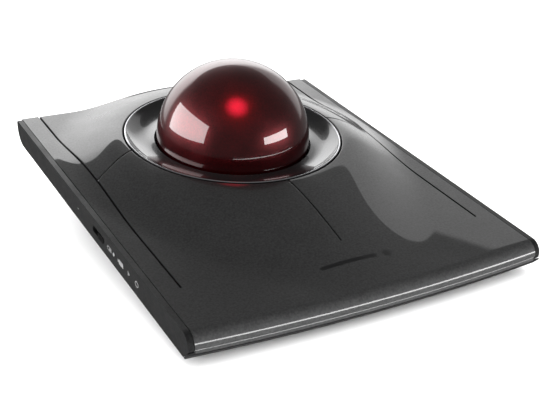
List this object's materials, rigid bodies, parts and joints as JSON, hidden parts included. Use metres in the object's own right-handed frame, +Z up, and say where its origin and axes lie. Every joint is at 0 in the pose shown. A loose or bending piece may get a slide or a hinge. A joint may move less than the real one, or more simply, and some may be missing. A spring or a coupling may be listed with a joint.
{
  "type": "trackball",
  "caption": "Desk trackball: thin slab sloping down to the front, large red ball in a dished ring, wide click buttons around it, side mode switch, recessed base on feet.",
  "frame": {"origin": "middle of the part's outline, at the height of the desk it stands on", "axes": "+X to the user's right, +Y away from the user, +Z up"},
  "size_m": [0.1263, 0.1515, 0.0596],
  "materials": {
    "body_plastic": "glossy dark grey",
    "panel_plastic": "satin grey",
    "ring_plastic": "polished gunmetal",
    "trim_metal": "bright",
    "ball_resin": "polished, translucent dark red",
    "cup_plastic": "matt black",
    "ceramic": "polished",
    "clear_lens": "clear",
    "chip_black": "matt",
    "circuit_board": "green solder mask",
    "flat_cable": "matt",
    "shield_metal": "satin",
    "plunger_plastic": "satin",
    "knob_plastic": "satin",
    "led_white": "matt",
    "battery_foil": "foil wrap",
    "red_lead": "satin",
    "foot_rubber": "matt",
    "screw_steel": "zinc plated"
  },
  "bodies": {
    "body": {"bottom_case": "body_plastic", "top_cover": "body_plastic", "left_side_panel": "panel_plastic", "right_side_panel": "panel_plastic", "ball_ring": "ring_plastic", "ring_trim": "trim_metal", "ball_cup": "cup_plastic", "support_balls": "ceramic", "sensor_lens_left": "clear_lens", "sensor_lens_right": "clear_lens", "sensor_chip_left": "chip_black", "sensor_chip_right": "chip_black", "sensor_board_left": "circuit_board", "sensor_board_right": "circuit_board", "sensor_cable_left": "flat_cable", "sensor_cable_right": "flat_cable", "main_board": "circuit_board", "controller_chip": "chip_black", "radio_module": "shield_metal", "switch_lower_left": "chip_black", "switch_lower_right": "chip_black", "switch_upper_left": "chip_black", "switch_upper_right": "chip_black", "mode_switch_body": "shield_metal", "status_led": "led_white", "status_lens": "clear_lens", "battery_pack": "battery_foil", "battery_lead": "red_lead", "charge_board": "circuit_board", "usb_shell": "shield_metal", "usb_tongue": "chip_black", "charge_cable": "flat_cable", "rubber_feet": "foot_rubber", "case_screws": "screw_steel", "cup_screws": "screw_steel", "board_screws": "screw_steel"},
    "button_lower_left": {"button_lower_left": "body_plastic"},
    "plunger_lower_left": {"plunger_lower_left": "plunger_plastic"},
    "button_lower_right": {"button_lower_right": "body_plastic"},
    "plunger_lower_right": {"plunger_lower_right": "plunger_plastic"},
    "button_upper_left": {"button_upper_left": "body_plastic"},
    "plunger_upper_left": {"plunger_upper_left": "plunger_plastic"},
    "button_upper_right": {"button_upper_right": "body_plastic"},
    "plunger_upper_right": {"plunger_upper_right": "plunger_plastic"},
    "ball": {"ball": "ball_resin"},
    "mode_knob": {"mode_switch_knob": "knob_plastic"}
  },
  "joints": [
    {"name": "lower_left_press", "type": "hinge", "parent": "body", "child": "button_lower_left", "pos_m": [0, -0.05109, 0.01421], "axis": [-1, 0, 0], "range_deg": [0, 0.7974], "stiffness_Nm_per_rad": 1.26, "springref_deg": -0.57},
    {"name": "lower_left_plunger", "type": "slide", "parent": "body", "child": "plunger_lower_left", "axis": [0, 0.1495, -0.9888], "range_m": [0, 0.00036]},
    {"name": "lower_right_press", "type": "hinge", "parent": "body", "child": "button_lower_right", "pos_m": [0, -0.05109, 0.01421], "axis": [-1, 0, 0], "range_deg": [0, 0.7974], "stiffness_Nm_per_rad": 1.26, "springref_deg": -0.57},
    {"name": "lower_right_plunger", "type": "slide", "parent": "body", "child": "plunger_lower_right", "axis": [0, 0.1495, -0.9888], "range_m": [0, 0.00036]},
    {"name": "upper_left_press", "type": "hinge", "parent": "body", "child": "button_upper_left", "pos_m": [0, 0.07265, 0.03293], "axis": [1, 0, 0], "range_deg": [0, 0.4456], "stiffness_Nm_per_rad": 1.26, "springref_deg": -0.57},
    {"name": "upper_left_plunger", "type": "slide", "parent": "body", "child": "plunger_upper_left", "axis": [0, 0.1495, -0.9888], "range_m": [0, 0.00036]},
    {"name": "upper_right_press", "type": "hinge", "parent": "body", "child": "button_upper_right", "pos_m": [0, 0.07265, 0.03293], "axis": [1, 0, 0], "range_deg": [0, 0.4456], "stiffness_Nm_per_rad": 1.26, "springref_deg": -0.57},
    {"name": "upper_right_plunger", "type": "slide", "parent": "body", "child": "plunger_upper_right", "axis": [0, 0.1495, -0.9888], "range_m": [0, 0.00036]},
    {"name": "ball_roll", "type": "hinge", "parent": "body", "child": "ball", "pos_m": [0, 0.02019, 0.03207], "axis": [1, 0, 0], "continuous": true},
    {"name": "mode_slide", "type": "slide", "parent": "body", "child": "mode_knob", "axis": [0, 0.9888, 0.1495], "range_m": [0, 0.005]}
  ],
  "couplings": [
    {"joint": "lower_left_plunger", "follows": "lower_left_press", "m_per_rad": 0.02515},
    {"joint": "lower_right_plunger", "follows": "lower_right_press", "m_per_rad": 0.02515},
    {"joint": "upper_left_plunger", "follows": "upper_left_press", "m_per_rad": 0.045},
    {"joint": "upper_right_plunger", "follows": "upper_right_press", "m_per_rad": 0.045}
  ]
}
